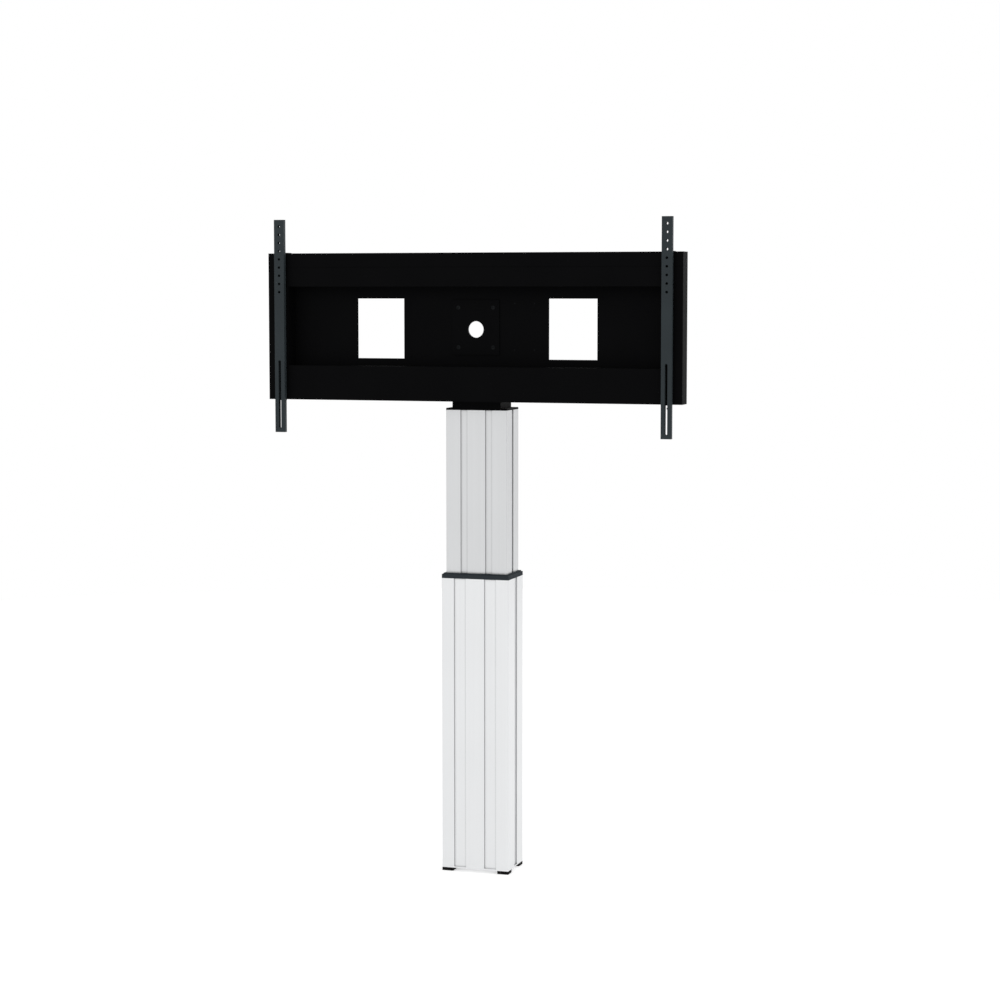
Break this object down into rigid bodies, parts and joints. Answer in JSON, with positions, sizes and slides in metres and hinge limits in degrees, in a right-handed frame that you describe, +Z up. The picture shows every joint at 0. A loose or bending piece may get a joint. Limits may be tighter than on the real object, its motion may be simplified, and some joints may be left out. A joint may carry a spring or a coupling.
{
  "type": "tv floor stand",
  "caption": "Motorised floor stand for a large screen: two-stage aluminium lift column, wide pressed mounting panel with windows, and upright sliding arms.",
  "frame": {"origin": "on the floor under the middle of the column, where the middle of the floor fixing pattern falls, 10 mm below the end plate", "axes": "+Z up along the column, -Y towards the viewer of the screen, +X to the right seen from the front"},
  "size_m": [1.308, 0.2165, 2.003],
  "materials": {
    "anodised_profile": "satin anodised extrusion",
    "bearing_steel": "polished bearing steel",
    "black_screw": "black oxide steel",
    "cable_sheath": "black flexible sheath",
    "circuit_board": "green solder mask",
    "collar_plastic": "fine-textured moulded plastic",
    "control_case": "textured black plastic",
    "end_plate_aluminium": "satin anodised plate",
    "gearbox_steel": "turned steel",
    "glide_plastic": "natural acetal",
    "inlet_plastic": "black moulded socket",
    "motor_can": "black painted steel can",
    "nut_bronze": "machined bronze",
    "pad_rubber": "matt black moulded rubber",
    "powder_coat_black": "fine-textured black powder coat",
    "powder_coat_slate": "fine-textured slate powder coat",
    "spindle_steel": "rolled and ground steel",
    "transformer_iron": "taped winding on an iron core",
    "zinc_screw": "bright zinc plate"
  },
  "bodies": {
    "column_base": {"collar": "collar_plastic", "end_plate": "end_plate_aluminium", "end_plate_screws": "zinc_screw", "floor_pad_front_left": "pad_rubber", "floor_pad_front_right": "pad_rubber", "floor_pad_rear_left": "pad_rubber", "floor_pad_rear_right": "pad_rubber", "floor_pad_screws": "zinc_screw", "nut_lock_screw": "zinc_screw", "outer_profile": "anodised_profile", "spindle_nut": "nut_bronze", "spindle_tube": "spindle_steel", "spindle_tube_screws": "zinc_screw", "upper_glide_front_left": "glide_plastic", "upper_glide_front_right": "glide_plastic", "upper_glide_rear_left": "glide_plastic", "upper_glide_rear_right": "glide_plastic"},
    "lift_head": {"bearing_housing": "gearbox_steel", "bearing_housing_screws": "zinc_screw", "bearing_outer_ring": "bearing_steel", "cap_plate": "powder_coat_black", "cap_plate_screws": "black_screw", "centre_plate": "powder_coat_black", "control_board": "circuit_board", "control_box_base": "control_case", "control_box_base_screws": "black_screw", "control_box_cover": "control_case", "control_box_screws": "black_screw", "control_box_spacers": "zinc_screw", "gearbox": "gearbox_steel", "handset_socket": "inlet_plastic", "inner_profile": "anodised_profile", "lower_glide_front_left": "glide_plastic", "lower_glide_front_right": "glide_plastic", "lower_glide_rear_left": "glide_plastic", "lower_glide_rear_right": "glide_plastic", "mains_inlet": "inlet_plastic", "motor": "motor_can", "motor_cable": "cable_sheath", "motor_plate": "spindle_steel", "motor_plate_screws": "zinc_screw", "motor_screws": "zinc_screw", "mounting_panel": "powder_coat_black", "neck_bracket": "powder_coat_black", "neck_screws": "black_screw", "panel_nuts": "black_screw", "panel_screws": "black_screw", "transformer": "transformer_iron"},
    "spindle_drive": {"spindle": "spindle_steel", "spindle_stop": "spindle_steel", "bearing_inner_ring": "bearing_steel", "bearing_balls": "bearing_steel"},
    "left_arm": {"left_arm": "powder_coat_slate", "left_clamp_screw": "black_screw", "left_lower_hook": "powder_coat_black", "left_upper_hook": "powder_coat_black"},
    "right_arm": {"right_arm": "powder_coat_slate", "right_clamp_screw": "black_screw", "right_lower_hook": "powder_coat_black", "right_upper_hook": "powder_coat_black"}
  },
  "joints": [
    {"name": "column_lift", "type": "slide", "parent": "column_base", "child": "lift_head", "axis": [0, 0, 1], "range_m": [-0.49, 0]},
    {"name": "spindle_spin", "type": "hinge", "parent": "lift_head", "child": "spindle_drive", "pos_m": [0, 0, 1.2], "axis": [0, 0, 1], "range_deg": [-11030, 0]},
    {"name": "left_arm_slide", "type": "slide", "parent": "lift_head", "child": "left_arm", "axis": [1, 0, 0], "range_m": [-0.03, 0.51]},
    {"name": "right_arm_slide", "type": "slide", "parent": "lift_head", "child": "right_arm", "axis": [1, 0, 0], "range_m": [-0.51, 0.03]}
  ],
  "couplings": [
    {"joint": "spindle_spin", "follows": "column_lift", "rad_per_m": 392.7}
  ]
}
